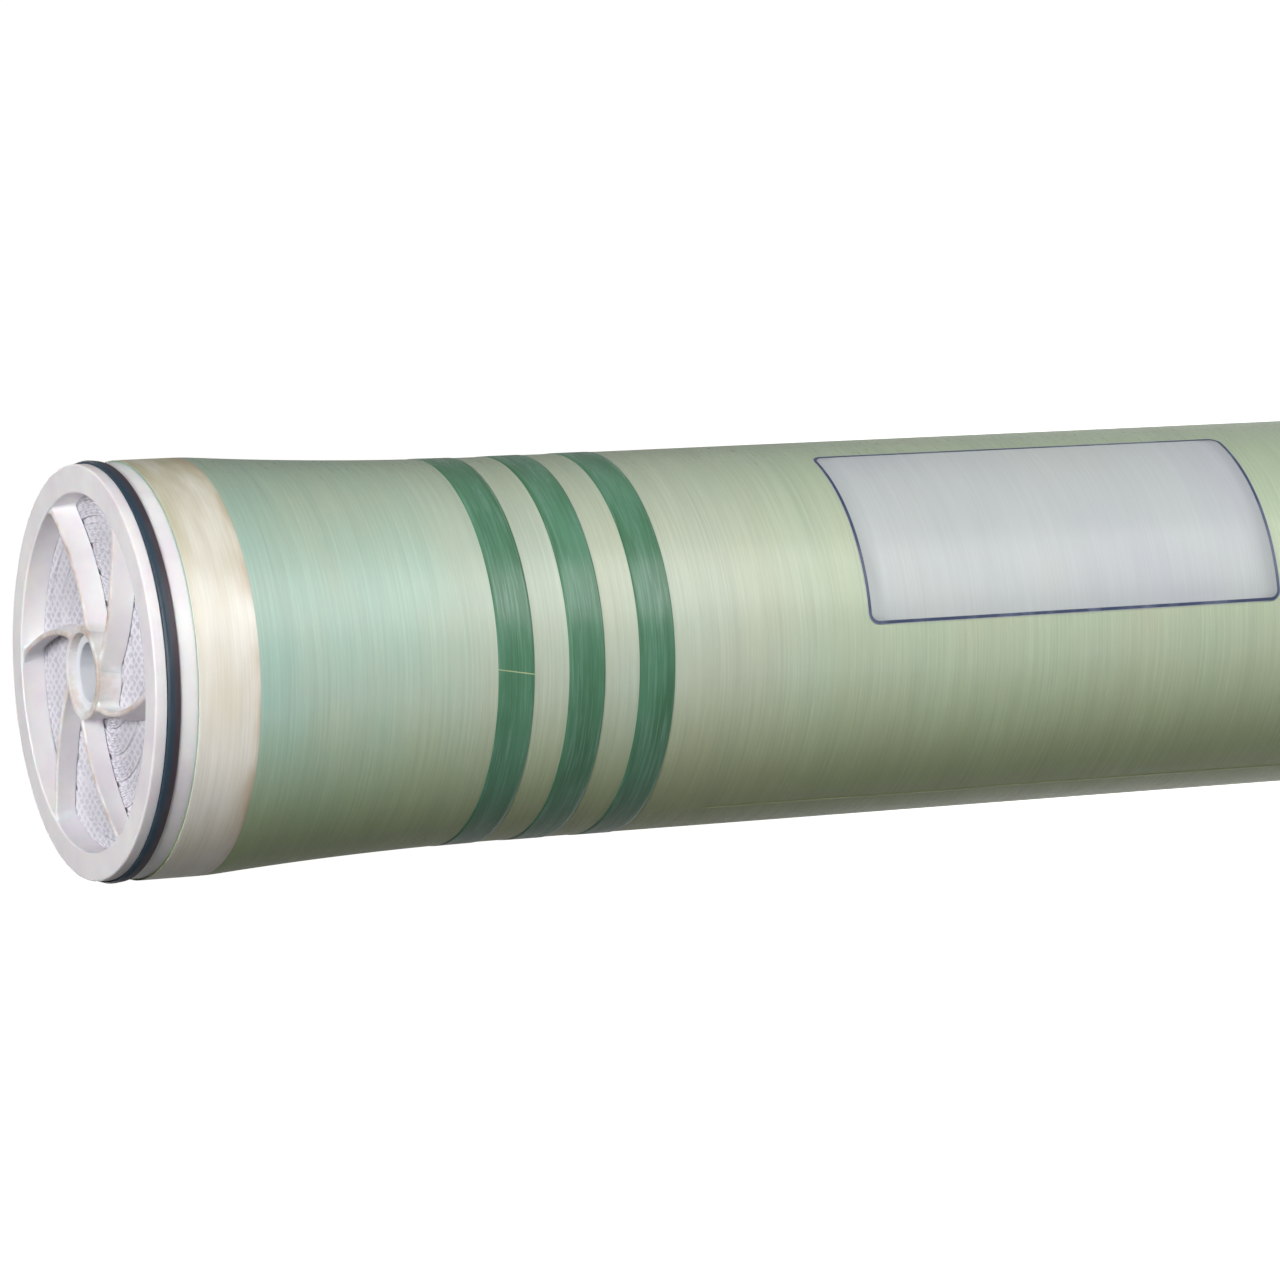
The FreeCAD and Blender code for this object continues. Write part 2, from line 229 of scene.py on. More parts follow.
class Nodes:
    """A new material, with short calls for the nodes that it needs."""

    def __init__(self, name, **values):
        self.material = bpy.data.materials.new(name)
        self.material.use_nodes = True
        self.tree = self.material.node_tree
        self.shader = self.tree.nodes["Principled BSDF"]
        self.place = self.add("ShaderNodeTexCoord").outputs["Object"]
        for key, value in values.items():
            self.shader.inputs[key.replace("_", " ").title().replace("Ior", "IOR")].default_value = value

    def add(self, kind, **settings):
        node = self.tree.nodes.new(kind)
        for key, value in settings.items():
            setattr(node, key, value)
        return node

    def link(self, source, target):
        if hasattr(source, "links"):
            self.tree.links.new(source, target)
        else:
            target.default_value = source

    def math(self, operation, *inputs, clamp=False):
        node = self.add("ShaderNodeMath", operation=operation, use_clamp=clamp)
        for i, source in enumerate(inputs):
            self.link(source, node.inputs[i])
        return node.outputs[0]

    def split(self):
        node = self.add("ShaderNodeSeparateXYZ")
        self.link(self.place, node.inputs[0])
        return node.outputs

    def scaled(self, scale, turn=(0.0, 0.0, 0.0), shift=(0.0, 0.0, 0.0)):
        node = self.add("ShaderNodeMapping")
        self.link(self.place, node.inputs["Vector"])
        node.inputs["Scale"].default_value = scale
        node.inputs["Rotation"].default_value = [math.radians(a) for a in turn]
        node.inputs["Location"].default_value = shift
        return node.outputs[0]

    def noise(self, scale, detail=2.0, rough=0.5, **mapping):
        node = self.add("ShaderNodeTexNoise")
        node.inputs["Scale"].default_value = 1.0
        node.inputs["Detail"].default_value = detail
        node.inputs["Roughness"].default_value = rough
        self.link(self.scaled(scale, **mapping), node.inputs["Vector"])
        return node.outputs["Fac"]

    def spread(self, value, low, high, out_low=0.0, out_high=1.0):
        node = self.add("ShaderNodeMapRange")
        node.inputs["From Min"].default_value = low
        node.inputs["From Max"].default_value = high
        node.inputs["To Min"].default_value = out_low
        node.inputs["To Max"].default_value = out_high
        self.link(value, node.inputs["Value"])
        return node.outputs[0]

    def mix(self, share, first, second, blend="MIX"):
        node = self.add("ShaderNodeMix", data_type="RGBA", blend_type=blend)
        self.link(share, node.inputs["Factor"])
        self.link(first, node.inputs["A"] if False else node.inputs[6])
        self.link(second, node.inputs[7])
        return node.outputs[2]

    def ramp(self, value, stops):
        node = self.add("ShaderNodeValToRGB")
        elements = node.color_ramp.elements
        while len(elements) < len(stops):
            elements.new(0.5)
        for element, (position, colour) in zip(elements, stops):
            element.position = position
            element.color = colour
        self.link(value, node.inputs[0])
        return node.outputs[0]

    def bump(self, height, distance, strength=1.0, under=None):
        node = self.add("ShaderNodeBump")
        node.inputs["Distance"].default_value = distance
        node.inputs["Strength"].default_value = strength
        self.link(height, node.inputs["Height"])
        if under is not None:
            self.link(under, node.inputs["Normal"])
        return node.outputs[0]

    def finish(self, colour=None, normal=None, roughness=None):
        if colour is not None:
            self.link(colour, self.shader.inputs["Base Color"])
        if normal is not None:
            self.link(normal, self.shader.inputs["Normal"])
            self.link(normal, self.shader.inputs["Coat Normal"])
        if roughness is not None:
            self.link(roughness, self.shader.inputs["Roughness"])
        return self.material


def filament_relief(nodes):
    """Wound filaments under resin: fine ridges and slower swells, all running round the axis."""
    fine = nodes.noise((16.0, 16.0, 1100.0), detail=2.0, turn=(0.6, -0.9, 0.0))
    crossing = nodes.noise((14.0, 14.0, 620.0), detail=1.0, turn=(-1.2, 0.8, 0.0), shift=(0.3, 0.1, 0.7))
    swell = nodes.noise((9.0, 9.0, 130.0), detail=2.0)
    fine_normal = nodes.bump(fine, 0.00006)
    crossing_normal = nodes.bump(crossing, 0.00008, under=fine_normal)
    return nodes.bump(swell, 0.00040, under=crossing_normal), fine, swell


def filament_tone(nodes, colour, fine, swell, depth=0.16):
    """Darkens and lightens a colour along the filaments."""
    light = nodes.spread(fine, 0.3, 0.7, 1.0 - depth, 1.0 + depth / 2)
    slow = nodes.spread(swell, 0.3, 0.7, 1.0 - depth / 2, 1.0 + depth / 3)
    tone = nodes.math("MULTIPLY", light, slow)
    return nodes.mix(1.0, colour, tone, blend="MULTIPLY")


def make_fibreglass():
    nodes = Nodes("fibreglass_resin", roughness=0.42, specular_ior_level=0.25, coat_weight=0.34,
                  coat_roughness=0.24, coat_ior=1.4, subsurface_weight=0.15, subsurface_scale=0.004)
    nodes.shader.inputs["Subsurface Radius"].default_value = (0.8, 1.0, 0.6)
    x, _, z = nodes.split()
    tint = nodes.ramp(nodes.math("DIVIDE", z, LENGTH), [
        (0.00, srgb(182, 199, 168)),
        (0.64, srgb(186, 203, 176)),
        (0.70, srgb(192, 203, 184)),
        (0.82, srgb(190, 203, 187)),
        (0.86, srgb(180, 204, 187)),
        (0.94, srgb(168, 202, 190)),
    ])
    mottle = nodes.noise((11.0, 11.0, 22.0), detail=3.0)
    tint = nodes.mix(nodes.spread(mottle, 0.35, 0.7, 0.0, 0.5), tint, srgb(196, 198, 172))
    # Painted shade: the -X side is darkened towards olive, with a painted warm floor bounce.
    painted_underside_shade = nodes.spread(x, -0.2 * SHELL_BODY_R, -SHELL_BODY_R, 0.0, 0.8)
    tint = nodes.mix(painted_underside_shade, tint, srgb(148, 164, 92))
    # Painted shade: the upper (+X) side is darkened.
    painted_crown_shade = nodes.spread(x, 0.45 * SHELL_BODY_R, SHELL_BODY_R, 0.0, 0.6)
    tint = nodes.mix(painted_crown_shade, tint, srgb(140, 158, 132))
    # Short dashes round the axis: their lower roughness is real gloss, and the pale colour mixed in is partly white
    # filaments and partly a painted glint.
    filament_dashes_and_glints = nodes.spread(nodes.noise((110.0, 110.0, 1500.0), detail=1.0), 0.60, 0.72)
    tint = nodes.mix(nodes.math("MULTIPLY", filament_dashes_and_glints, 0.16), tint, srgb(232, 238, 226))
    gloss = nodes.spread(filament_dashes_and_glints, 0.0, 1.0, 0.38, 0.16)
    normal, fine, swell = filament_relief(nodes)
    return nodes.finish(filament_tone(nodes, tint, fine, swell, 0.08), normal, gloss)


def make_resin_bead():
    nodes = Nodes("resin_bead", roughness=0.35, specular_ior_level=0.3)
    cloud = nodes.noise((60.0, 60.0, 20.0))
    return nodes.finish(nodes.mix(nodes.spread(cloud, 0.3, 0.7), srgb(190, 200, 158), srgb(172, 184, 136)))


def make_joint_tape():
    nodes = Nodes("cream_joint_tape", roughness=0.36, specular_ior_level=0.35, coat_weight=0.35, coat_roughness=0.14)
    x, _, z = nodes.split()
    blot = nodes.noise((16.0, 16.0, 60.0), detail=3.0)
    from_middle = nodes.math("ABSOLUTE", nodes.math("SUBTRACT", z, LENGTH / 2))
    edge = nodes.spread(from_middle, LENGTH / 2 - SKIRT_END + 9 * MM, LENGTH / 2 - SKIRT_END)
    colour = nodes.mix(nodes.spread(blot, 0.4, 0.65), srgb(240, 236, 226), srgb(230, 224, 206))
    # Painted shade: the upper (+X) side of the tape is darkened to beige, broken up by the blotch noise.
    painted_crown_shade = nodes.math("MULTIPLY", nodes.spread(x, 0.3 * SHELL_BODY_R, SHELL_BODY_R), nodes.spread(blot, 0.3, 0.6, 0.3, 1.0))
    colour = nodes.mix(painted_crown_shade, colour, srgb(186, 180, 146))
    stain = nodes.math("MULTIPLY", edge, nodes.spread(blot, 0.35, 0.7))
    colour = nodes.mix(stain, colour, srgb(186, 160, 130))
    normal, fine, swell = filament_relief(nodes)
    return nodes.finish(filament_tone(nodes, colour, fine, swell, 0.06), normal)


def make_band_tape():
    nodes = Nodes("green_band_tape", roughness=0.40, specular_ior_level=0.3, coat_weight=0.45, coat_roughness=0.24)
    blot = nodes.noise((20.0, 20.0, 90.0), detail=3.0)
    colour = nodes.mix(nodes.spread(blot, 0.3, 0.7), srgb(70, 118, 86), srgb(88, 138, 110))
    normal, fine, swell = filament_relief(nodes)
    colour = filament_tone(nodes, colour, fine, swell, 0.14)
    # Streaks round the band: their lower roughness is real gloss, and the pale bluish colour mixed in is a painted
    # highlight.
    glint_streaks = nodes.spread(nodes.noise((34.0, 34.0, 900.0), detail=2.0), 0.52, 0.70)
    colour = nodes.mix(nodes.math("MULTIPLY", glint_streaks, 0.22), colour, srgb(168, 200, 192))
    return nodes.finish(colour, normal, nodes.spread(glint_streaks, 0.0, 1.0, 0.40, 0.18))


def make_label_paper():
    nodes = Nodes("label_film", roughness=0.42, specular_ior_level=0.3, coat_weight=0.30, coat_roughness=0.24)
    cloud = nodes.noise((9.0, 9.0, 14.0), detail=3.0)
    colour = nodes.mix(nodes.spread(cloud, 0.3, 0.7), srgb(192, 198, 196), srgb(184, 188, 194))
    normal, fine, swell = filament_relief(nodes)
    return nodes.finish(filament_tone(nodes, colour, fine, swell, 0.04), normal)


def make_label_border():
    nodes = Nodes("label_border_ink", roughness=0.42, specular_ior_level=0.3, coat_weight=0.30, coat_roughness=0.24)
    wear = nodes.noise((60.0, 60.0, 90.0), detail=3.0)
    colour = nodes.mix(nodes.spread(wear, 0.45, 0.75), srgb(58, 70, 100), srgb(104, 114, 138))
    normal, _, _ = filament_relief(nodes)
    return nodes.finish(colour, normal)


def make_cap_plastic():
    nodes = Nodes("white_cap_plastic", roughness=0.42, subsurface_weight=0.2, subsurface_scale=0.003)
    cloud = nodes.noise((30.0, 30.0, 30.0), detail=4.0)
    colour = nodes.mix(nodes.spread(cloud, 0.35, 0.7), srgb(246, 244, 243), srgb(232, 226, 232))
    # Brown at the vane roots by the hub is partly stain and partly painted shade in the corners; the front face is
    # also browned along the window edges. Noise breaks both up.
    grime_and_shade_noise = nodes.noise((55.0, 55.0, 40.0), detail=5.0, rough=0.65)
    x, y, z = nodes.split()
    radius = nodes.math("SQRT", nodes.math("ADD", nodes.math("MULTIPLY", x, x), nodes.math("MULTIPLY", y, y)))
    near_hub = nodes.spread(radius, HUB_R + 3 * MM, HUB_R - 1 * MM, 0.0, 0.6)
    on_vanes = nodes.spread(radius, WINDOW_R, WINDOW_R - 3 * MM)
    from_middle = nodes.math("ABSOLUTE", nodes.math("SUBTRACT", z, LENGTH / 2))
    at_front = nodes.spread(from_middle, LENGTH / 2 - 2.0 * MM, LENGTH / 2 - 1.0 * MM, 0.0, 0.7)
    stain_and_shade_edges = nodes.math("MAXIMUM", near_hub, nodes.math("MULTIPLY", on_vanes, at_front))
    stain = nodes.math("MULTIPLY", stain_and_shade_edges, nodes.spread(grime_and_shade_noise, 0.38, 0.66))
    colour = nodes.mix(stain, colour, srgb(178, 150, 124))
    normal = nodes.bump(nodes.noise((900.0, 900.0, 900.0)), 0.00003)
    return nodes.finish(colour, normal)


def make_tube_plastic():
    nodes = Nodes("tube_plastic", roughness=0.35)
    cloud = nodes.noise((40.0, 40.0, 12.0), detail=3.0)
    colour = nodes.mix(nodes.spread(cloud, 0.3, 0.7), srgb(226, 228, 233), srgb(212, 216, 224))
    normal = nodes.bump(nodes.noise((300.0, 300.0, 20.0)), 0.00005)
    return nodes.finish(colour, normal)


def make_seal_rubber():
    nodes = Nodes("seal_rubber", roughness=0.5)
    z = nodes.split()[2]
    # Two-tone across the seal: the bluish front half is a painted highlight on the dark rubber.
    across = nodes.spread(z, SEAL_LOW[2], SEAL_HIGH[2])
    colour = nodes.ramp(across, [(0.40, srgb(66, 54, 64)), (0.55, srgb(46, 64, 78))])
    dust = nodes.noise((70.0, 70.0, 200.0), detail=4.0)
    colour = nodes.mix(nodes.spread(dust, 0.5, 0.8, 0.0, 0.3), colour, srgb(96, 92, 98))
    normal = nodes.bump(nodes.noise((700.0, 700.0, 700.0)), 0.00004)
    return nodes.finish(colour, normal)


def make_leaf_sheets():
    """Edges of the membrane leaves, with the spacer's diamond net showing through."""
    nodes = Nodes("leaf_sheets", roughness=0.6)
    blot = nodes.noise((60.0, 60.0, 60.0), detail=4.0)
    colour = nodes.mix(nodes.spread(blot, 0.3, 0.7), srgb(204, 202, 210), srgb(184, 181, 193))
    nets = []
    for turn in (35.0, -35.0):
        node = nodes.add("ShaderNodeTexWave", wave_type="BANDS", bands_direction="X")
        node.inputs["Scale"].default_value = 1.0
        node.inputs["Distortion"].default_value = 1.2
        node.inputs["Detail"].default_value = 1.0
        nodes.link(nodes.scaled((70.0, 70.0, 70.0), turn=(0, 0, turn)), node.inputs["Vector"])
        nets.append(node.outputs["Fac"])
    net = nodes.math("MAXIMUM", *nets)
    colour = nodes.mix(nodes.spread(net, 0.5, 1.0, 0.0, 0.8), colour, srgb(222, 220, 226))
    normal = nodes.bump(net, 0.0003)
    return nodes.finish(colour, normal)


def make_scroll_film():
    nodes = Nodes("scroll_film", roughness=0.4)
    cloud = nodes.noise((20.0, 20.0, 200.0), detail=2.0)
    colour = nodes.mix(nodes.spread(cloud, 0.3, 0.7), srgb(226, 226, 220), srgb(206, 208, 200))
    return nodes.finish(colour)


def make_floor():
    """Pale studio floor: an evenly lit sweep whose glow dims a little round the element's foot, a painted soft
    shadow there.
    """
    nodes = Nodes("pale_floor", roughness=0.9)
    cloud = nodes.noise((2.0, 2.0, 2.0))
    colour = nodes.mix(nodes.spread(cloud, 0.3, 0.7), srgb(246, 246, 246), srgb(243, 243, 243))
    x, y, _ = nodes.split()
    distance = nodes.math("SQRT", nodes.math("ADD", nodes.math("MULTIPLY", x, x), nodes.math("MULTIPLY", y, y)))
    # Painted shadow: the glow is lower near the axis and full from FLOOR_GLOW_FULL out.
    glow = nodes.spread(distance, FLOOR_GLOW_START, FLOOR_GLOW_FULL, 0.45, 1.02)
    seen = nodes.add("ShaderNodeLightPath").outputs["Is Camera Ray"]
    share = nodes.spread(seen, 0.0, 1.0, FLOOR_LIGHT, 1.0)
    nodes.link(nodes.math("MULTIPLY", glow, share), nodes.shader.inputs["Emission Strength"])
    nodes.shader.inputs["Emission Color"].default_value = (1.0, 0.99, 0.97, 1.0)
    return nodes.finish(colour)


# ---------------------------------------------------------------- shell, tapes, bands and label
def shell_line(z_high, z_low, step):
    """(radius, z) along the shell's outer line, from high to low."""
    count = max(2, math.ceil((z_high - z_low) / step))
    line = []
    for i in range(count + 1):
        z = z_high + (z_low - z_high) * i / count
        line.append(Vector((shell_radius(z), z)))
    return line


def make_shell(material):
    top = SHELL_HIGH[2]
    low = SHELL_LOW[2]
    edge = 0.4 * MM
    outline = [Vector((SKIRT_R, top)), Vector((SHELL_END_R - edge, top))]
    outline += [Vector((SHELL_END_R - edge * 0.3, top - edge * 0.3))]
    outline += shell_line(top - edge, low + edge, 4 * MM)
    outline += [Vector((SHELL_END_R - edge * 0.3, low + edge * 0.3))]
    outline += [Vector((SHELL_END_R - edge, low)), Vector((SKIRT_R, low))]
    bevel = SKIRT_R - SHELL_BORE_R
    outline += [Vector((SKIRT_R, SKIRT_END)), Vector((SHELL_BORE_R, SKIRT_END + bevel))]
    outline += [Vector((SHELL_BORE_R, LENGTH - SKIRT_END - bevel)), Vector((SKIRT_R, LENGTH - SKIRT_END))]
    return lathe("wound_shell", outline, material)


def make_wrap(name, z_high, z_low, material, wall, skin=SKIN, step=2 * MM):
    """A tape wound round the shell, its two edges eased into the resin."""
    line = shell_line(z_high, z_low, step)
    outline = [Vector((p.x - wall, p.y)) for p in line[::-1]]
    outline.append(Vector((line[0].x, line[0].y)))
    for i, point in enumerate(line):
        inset = 0.15 * MM if i in (0, len(line) - 1) else 0.0
        inwards = inset if i == 0 else -inset
        outline.append(Vector((point.x + skin, point.y - inwards)))
    outline.append(Vector((line[-1].x, line[-1].y)))
    return lathe(name, outline, material)


def label_half_length(across, half_width, half_length):
    """Half of the label's length at a distance from its centre line, round the corners."""
    into_corner = abs(across) - (half_width - LABEL_CORNER)
    if into_corner <= 0:
        return half_length
    return half_length - LABEL_CORNER + math.sqrt(max(LABEL_CORNER ** 2 - into_corner ** 2, 0.0))


def wrapped(across, z, radius):
    """Point on the body from a distance round it, measured from the label's centre line."""
    middle = (LABEL_TOP_ANGLE + LABEL_BOTTOM_ANGLE) / 2
    return polar(radius, middle + math.degrees(across / SHELL_BODY_R), z)


def make_label(material):
    half_width = math.radians(LABEL_TOP_ANGLE - LABEL_BOTTOM_ANGLE) / 2 * SHELL_BODY_R
    centre_z = (LABEL_LOW[2] + LABEL_HIGH[2]) / 2
    half_length = (LABEL_HIGH[2] - LABEL_LOW[2]) / 2
    corner_rows = 10
    plain = half_width - LABEL_CORNER
    rows = [-plain + 2 * plain * i / 60 for i in range(61)]
    corner = [plain + LABEL_CORNER * math.sin(math.pi / 2 * i / corner_rows) for i in range(1, corner_rows + 1)]
    rows = [-value for value in corner[::-1]] + rows + corner
    bm = bmesh.new()
    layers = []
    for radius in (SHELL_BODY_R + SKIN, SHELL_BODY_R - 0.2 * MM):
        grid = []
        for across in rows:
            reach = label_half_length(across, half_width, half_length)
            grid.append([bm.verts.new(wrapped(across, centre_z + reach * (i / 8 - 1), radius)) for i in range(17)])
        layers.append(grid)
    top, under = layers
    for grid in layers:
        for here, there in zip(grid, grid[1:]):
            for i in range(16):
                bm.faces.new((here[i], here[i + 1], there[i + 1], there[i]))
    for i in range(16):
        bm.faces.new((top[0][i], top[0][i + 1], under[0][i + 1], under[0][i]))
        bm.faces.new((top[-1][i], top[-1][i + 1], under[-1][i + 1], under[-1][i]))
    for here, there, low_here, low_there in zip(top, top[1:], under, under[1:]):
        for i in (0, 16):
            bm.faces.new((here[i], there[i], low_there[i], low_here[i]))
    return finish_mesh("blank_label", bm, material)


def rounded_rectangle(half_width, half_length, corner, inset):
    """Closed (across, along) points of the label's outline, moved inwards."""
    points = []
    radius = corner - inset
    for quarter, (side, end) in enumerate(((1, 1), (-1, 1), (-1, -1), (1, -1))):
        centre = Vector((side * (half_width - corner), end * (half_length - corner)))
        for step in range(9):
            angle = math.pi / 2 * (quarter + step / 8)
            points.append(centre + radius * Vector((math.cos(angle), math.sin(angle))))
    closed = []
    for here, there in zip(points, points[1:] + points[:1]):
        pieces = max(1, math.ceil((there - here).length / (2 * MM)))
        closed += [here.lerp(there, i / pieces) for i in range(pieces)]
    return closed


def make_label_border_strip(material):
    """Printed border along the label's edge."""
    half_width = math.radians(LABEL_TOP_ANGLE - LABEL_BOTTOM_ANGLE) / 2 * SHELL_BODY_R
    centre_z = (LABEL_LOW[2] + LABEL_HIGH[2]) / 2
    half_length = (LABEL_HIGH[2] - LABEL_LOW[2]) / 2
    outer = rounded_rectangle(half_width, half_length, LABEL_CORNER, 0.3 * MM)
    inner_inset = 0.3 * MM + LABEL_BORDER
    radius = SHELL_BODY_R + SKIN + 0.03 * MM
    bm = bmesh.new()
    rings = []
    for inset in (0.3 * MM, inner_inset):
        shape = []
        for point in outer:
            pull = Vector(point)
            limit_across = half_width - LABEL_CORNER
            limit_along = half_length - LABEL_CORNER
            core = Vector((max(-limit_across, min(limit_across, pull.x)),
                           max(-limit_along, min(limit_along, pull.y))))
            away = pull - core
            shape.append(core + away.normalized() * (LABEL_CORNER - inset))
        rings.append([bm.verts.new(wrapped(p.x, centre_z + p.y, radius)) for p in shape])
    outer_ring, inner_ring = rings
    for i in range(len(outer_ring)):
        j = (i + 1) % len(outer_ring)
        bm.faces.new((outer_ring[i], outer_ring[j], inner_ring[j], inner_ring[i]))
    return finish_mesh("label_border", bm, material)


def make_resin_line(name, start, end, width, height, material, steps=60, wave=0.0):
    """Thin ridge of resin between two (angle, z) places on the shell."""
    bm = bmesh.new()
    sections = []
    for i in range(steps + 1):
        share = i / steps
        z = start[1] + (end[1] - start[1]) * share
        angle = start[0] + (end[0] - start[0]) * share
        angle += wave * noise.noise(Vector((share * 7, 0.3, 0.1)))
        radius = shell_radius(z)
        taper = min(1.0, 8 * share + 0.1, 8 * (1 - share) + 0.1)
        centre = polar(radius, angle, z)
        outwards = Vector((centre.x, centre.y, 0)).normalized()
        along = (polar(radius, end[0], end[1]) - polar(radius, start[0], start[1])).normalized()
        sideways = outwards.cross(along).normalized() * width / 2
        profile = ((-1.0, -0.3), (-0.5, 0.7), (0.0, 1.0), (0.5, 0.7), (1.0, -0.3))
        sections.append([centre + sideways * a + outwards * (b * height * taper + SKIN) for a, b in profile])
    loft(bm, sections)
    return finish_mesh(name, bm, material)


# ---------------------------------------------------------------- end caps, seal, tube and scroll
def cap_ring_outline():
    return rounded_outline([
        (WINDOW_R, LENGTH, 1.0 * MM),
        (WINDOW_R, LENGTH - CAP_DEPTH, 0.3 * MM),
        (SKIRT_BORE_R, LENGTH - CAP_DEPTH),
        (SKIRT_BORE_R, LENGTH - SKIRT_END),
        (SKIRT_R, LENGTH - SKIRT_END),
        (SKIRT_R, LENGTH - 21.3 * MM),
        (CAP_R, LENGTH - 21.3 * MM, 0.3 * MM),
        (CAP_R, LENGTH - GROOVE_FAR, 0.3 * MM),
        (GROOVE_FLOOR_R, LENGTH - GROOVE_FAR),
        (GROOVE_FLOOR_R, LENGTH - GROOVE_NEAR),
        (CAP_R, LENGTH - GROOVE_NEAR, 0.3 * MM),
        (CAP_R, LENGTH, 1.2 * MM),
    ])


def hub_outline():
    return rounded_outline([
        (HUB_BORE_R, LENGTH, 0.6 * MM),
        (HUB_BORE_R, LENGTH - CAP_DEPTH),
        (HUB_R, LENGTH - CAP_DEPTH),
        (HUB_R, LENGTH, 0.8 * MM),
    ])


def fillet_growth(distance, radius):
    """How much wider a wall stands at a distance from the wall that it blends into."""
    if distance >= radius:
        return 0.0
    reach = radius - max(distance, 0.0)
    return radius - math.sqrt(max(radius ** 2 - reach ** 2, 0.0))


def vane_sections(turn):
    """Cross-sections of one vane from hub to ring, each a closed loop with a rounded front edge."""
    growth = math.log(WINDOW_R / HUB_R)
    lean = math.cos(math.atan(math.radians(VANE_SWEEP) / growth))
    r_start = HUB_R - VANE_ROOT_SINK
    r_end = WINDOW_R + VANE_ROOT_SINK
    stations = 48
    sections = []
    for i in range(stations + 1):
        share = 0.5 - 0.5 * math.cos(math.pi * i / stations)
        r = r_start + (r_end - r_start) * share
        extra = fillet_growth(r - HUB_R, VANE_FILLET) + fillet_growth(WINDOW_R - r, VANE_FILLET)
        centre = turn + VANE_SWEEP * math.log(r / HUB_R) / growth
        loop = []
        for depth, side in vane_edge_points():
            fall = (depth - VANE_FRONT_DEPTH) / (VANE_REAR_DEPTH - VANE_FRONT_DEPTH)
            wall = VANE_FRONT_WALL + (VANE_REAR_WALL - VANE_FRONT_WALL) * fall
            half = side * (wall / 2 + extra)
            angle = centre + VANE_SLANT * fall + math.degrees(half / lean / r)
            loop.append(polar(r, angle, LENGTH - depth))
        sections.append(loop)
    return sections


def vane_edge_points():
    """(depth, share of the half wall) round a vane's section, starting at its rear."""
    ease = 1.1 * MM
    near = [(VANE_REAR_DEPTH, 1.0), (VANE_REAR_DEPTH * 0.6, 1.0), (VANE_FRONT_DEPTH + ease * 1.3, 1.0)]
    for step in range(6):
        angle = math.pi / 2 * step / 5
        near.append((VANE_FRONT_DEPTH + ease * (1 - math.sin(angle)), 0.25 + 0.75 * math.cos(angle)))
    far = [(depth, -side) for depth, side in near[::-1]]
    return near + far


def make_cap(material):
    ring = lathe("feed_cap", cap_ring_outline(), material)
    hub = lathe("feed_cap_hub", hub_outline(), segments=96)
    bm = bmesh.new()
    bm.from_mesh(ring.data)
    bm.from_mesh(hub.data)
    for i in range(VANE_COUNT):
        loft(bm, vane_sections(VANE_START + 360.0 * i / VANE_COUNT))
    bmesh.ops.recalc_face_normals(bm, faces=bm.faces)
    bm.to_mesh(ring.data)
    bm.free()
    for polygon in ring.data.polygons:
        polygon.use_smooth = True
    bpy.data.objects.remove(hub)
    ring.data.set_sharp_from_angle(angle=math.radians(50))
    return ring


def make_seal(material):
    lip_r = SEAL_HIGH[0]
    near = SEAL_HIGH[2]
    far = SEAL_LOW[2]
    notch_r = (GROOVE_FLOOR_R + lip_r) / 2
    return lathe("brine_lip_seal", rounded_outline([
        (GROOVE_FLOOR_R, near),
        (GROOVE_FLOOR_R, far),
        (lip_r - 0.6 * MM, far, 0.8 * MM),
        (lip_r, near - 1.4 * MM, 0.8 * MM),
        (lip_r - 0.8 * MM, near, 0.3 * MM),
        (notch_r + 1.2 * MM, near, 0.2 * MM),
        (notch_r, near - 3.2 * MM, 0.3 * MM),
        (notch_r - 1.2 * MM, near, 0.2 * MM),
    ]), material)


def make_tube(material):
    step = PORT_R - TUBE_INNER_R
    low = TUBE_LOW[2]
    high = TUBE_HIGH[2]
    bevel = 0.8 * MM
    return lathe("core_tube_pipe", rounded_outline([
        (PORT_R, low, bevel),
        (TUBE_R, low, bevel),
        (TUBE_R, high, bevel),
        (PORT_R, high, bevel),
        (PORT_R, high - PORT_DEPTH),
        (TUBE_INNER_R, high - PORT_DEPTH - step),
        (TUBE_INNER_R, low + PORT_DEPTH + step),
        (PORT_R, low + PORT_DEPTH),
    ]), material, segments=96)


def leaf_section():
    """(share across a leaf, height over the channel's floor): the edges of its sheets."""
    points = []
    for sheet in range(SHEETS_PER_LEAF):
        for share, height in ((0.0, 0.55), (0.25, 0.95), (0.5, 1.0), (0.75, 0.95)):
            points.append(((sheet + share) / SHEETS_PER_LEAF, height))
    points.append((1.0, 0.55))
    return [(0.0, -0.2)] + points + [(1.0, -0.2)]


def add_leaf(bm, start_angle, floor_z, inner_r, outer_r):
    """One leaf's edge, wound outwards at an even pitch and trimmed to the scroll's rims."""
    pitch = LEAF_SPACING * LEAF_COUNT
    leaf_width = LEAF_SPACING - CHANNEL_WIDTH
    turns = (outer_r - inner_r + leaf_width) / pitch
    steps = math.ceil(turns * 150)
    sections = []
    for i in range(steps + 1):
        turn = turns * i / steps
        low_r = inner_r - leaf_width + pitch * turn
        section = []
        for share, height in leaf_section():
            ripple = 0.12 * MM * noise.noise(Vector((turn * 40, share * 9, start_angle)))
            radius = min(max(low_r + leaf_width * share + ripple, inner_r), outer_r)
            level = floor_z + (height - 0.1 * (share == 0)) * CHANNEL_DEPTH * 0.98
            section.append(polar(radius, start_angle + 360.0 * turn, level))
        sections.append(section)
    loft(bm, sections)


